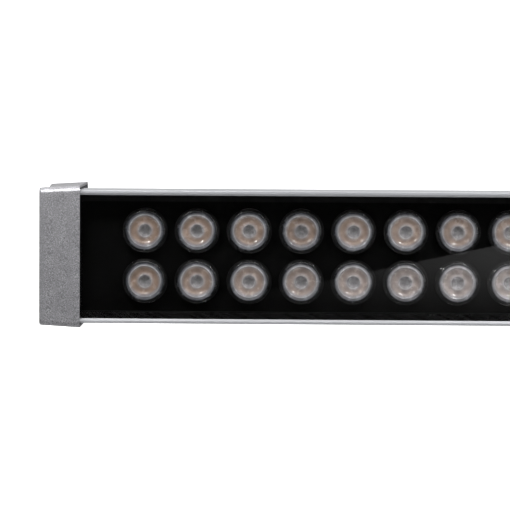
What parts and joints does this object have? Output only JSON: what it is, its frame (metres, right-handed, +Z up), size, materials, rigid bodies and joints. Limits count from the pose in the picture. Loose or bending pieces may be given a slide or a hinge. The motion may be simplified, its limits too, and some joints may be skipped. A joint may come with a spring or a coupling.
{
  "type": "led strip batten",
  "caption": "Linear LED wash batten: long aluminium housing, twin rows of lenses behind glass, end caps, and sliding, tilting feet.",
  "frame": {"origin": "on the floor, midway between the two foot bolt holes", "axes": "+X along the housing towards the cable glands, the light leaves towards -Y, +Z up through the foot bolt holes"},
  "size_m": [1.0126, 0.0887, 0.0968],
  "materials": {
    "anodised_extrusion": "silver anodised, fine drawing lines along the length",
    "front_glass": "clear toughened glass, polished",
    "black_rubber": "matt silicone rubber",
    "grey_cap_paint": "grey powder coat with a fine speckle, satin",
    "grey_bracket_paint": "grey powder coat, satin",
    "zinc_steel": "bright zinc plate",
    "stainless_steel": "stainless, satin",
    "black_nylon": "moulded nylon, fine texture",
    "grey_thermal_pad": "soft gap pad",
    "black_mask": "matt black sheet",
    "white_connector": "moulded connector plastic",
    "circuit_board": "black solder mask on an aluminium core",
    "emitter_phosphor": "silicone dome over phosphor",
    "black_holder": "black polycarbonate, slight gloss",
    "lens_acrylic": "clear acrylic collimator, warm grey with no power on",
    "driver_aluminium": "plain drawn tube",
    "red_lead": "silicone insulation"
  },
  "bodies": {
    "housing": {"housing_extrusion": "anodised_extrusion", "front_glass": "front_glass", "glass_seals": "black_rubber", "right_end_cap": "grey_cap_paint", "left_end_cap": "grey_cap_paint", "right_end_gasket": "black_rubber", "left_end_gasket": "black_rubber", "right_cap_screws": "zinc_steel", "left_cap_screws": "zinc_steel", "gland_bodies": "black_nylon", "gland_locknuts": "black_nylon", "gland_seals": "black_rubber", "gland_dome_nuts": "black_nylon", "breather": "black_nylon", "thermal_pads": "grey_thermal_pad", "mask_plate": "black_mask", "board_screws": "zinc_steel", "board_links": "white_connector", "supply_plug": "white_connector", "driver_case": "driver_aluminium", "driver_end_plugs": "black_rubber", "driver_board": "circuit_board", "input_leads": "red_lead", "output_leads": "red_lead", "web_grommet": "black_rubber", "terminal_block": "white_connector", "led_board_1": "circuit_board", "emitters_1": "emitter_phosphor", "lens_holders_1": "black_holder", "lenses_1": "lens_acrylic", "led_board_2": "circuit_board", "emitters_2": "emitter_phosphor", "lens_holders_2": "black_holder", "lenses_2": "lens_acrylic", "led_board_3": "circuit_board", "emitters_3": "emitter_phosphor", "lens_holders_3": "black_holder", "lenses_3": "lens_acrylic", "led_board_4": "circuit_board", "emitters_4": "emitter_phosphor", "lens_holders_4": "black_holder", "lenses_4": "lens_acrylic"},
    "left_carriage": {"left_carriage": "grey_bracket_paint", "left_track_nuts": "zinc_steel", "left_carriage_bolts": "stainless_steel", "left_spring_washers": "stainless_steel", "left_pivot_bolt": "stainless_steel", "left_pivot_washers": "stainless_steel", "left_pivot_nut": "stainless_steel"},
    "left_foot": {"left_foot_bracket": "grey_bracket_paint"},
    "right_carriage": {"right_carriage": "grey_bracket_paint", "right_track_nuts": "zinc_steel", "right_carriage_bolts": "stainless_steel", "right_spring_washers": "stainless_steel", "right_pivot_bolt": "stainless_steel", "right_pivot_washers": "stainless_steel", "right_pivot_nut": "stainless_steel"},
    "right_foot": {"right_foot_bracket": "grey_bracket_paint"}
  },
  "joints": [
    {"name": "left_slide", "type": "slide", "parent": "housing", "child": "left_carriage", "axis": [1, 0, 0], "range_m": [-0.15, 0.11]},
    {"name": "right_slide", "type": "slide", "parent": "housing", "child": "right_carriage", "axis": [1, 0, 0], "range_m": [-0.11, 0.15]},
    {"name": "left_tilt", "type": "hinge", "parent": "left_carriage", "child": "left_foot", "pos_m": [-0.2137, 0.028, 0.062], "axis": [1, 0, 0], "range_deg": [-15, 90]},
    {"name": "right_tilt", "type": "hinge", "parent": "right_carriage", "child": "right_foot", "pos_m": [0.2137, 0.028, 0.062], "axis": [1, 0, 0], "range_deg": [-15, 90]}
  ],
  "couplings": [
    {"joint": "right_tilt", "follows": "left_tilt", "ratio": 1}
  ]
}
